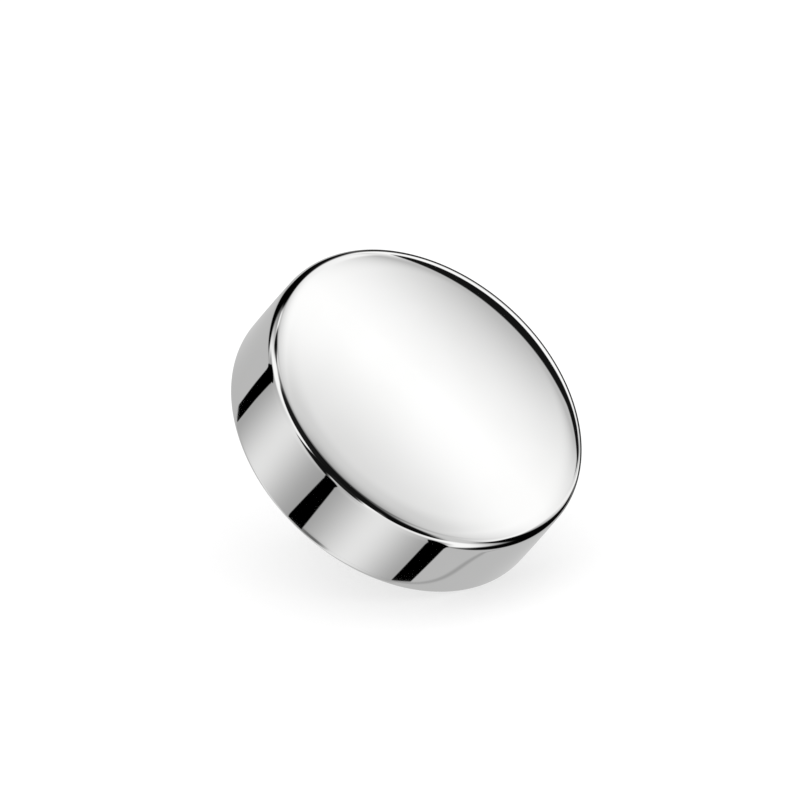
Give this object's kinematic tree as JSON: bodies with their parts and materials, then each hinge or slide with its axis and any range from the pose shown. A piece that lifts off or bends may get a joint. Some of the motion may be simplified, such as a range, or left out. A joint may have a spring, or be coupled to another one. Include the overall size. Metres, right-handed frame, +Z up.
{
  "type": "threaded disc top",
  "caption": "Round solid metal disc with a shallow domed mirror face, rolled edges and a short threaded post on its back, for body jewellery.",
  "frame": {"origin": "on the surface that the piece lies on, under the middle of its outline", "axes": "+Z up, +X along the disc's width; the disc leans on its post, its face looks up and towards -Y"},
  "size_m": [0.005, 0.0046, 0.0041],
  "materials": {
    "metal": "mirror-polished surgical steel"
  },
  "bodies": {
    "root": {"disc_top": "metal"}
  },
  "joints": []
}
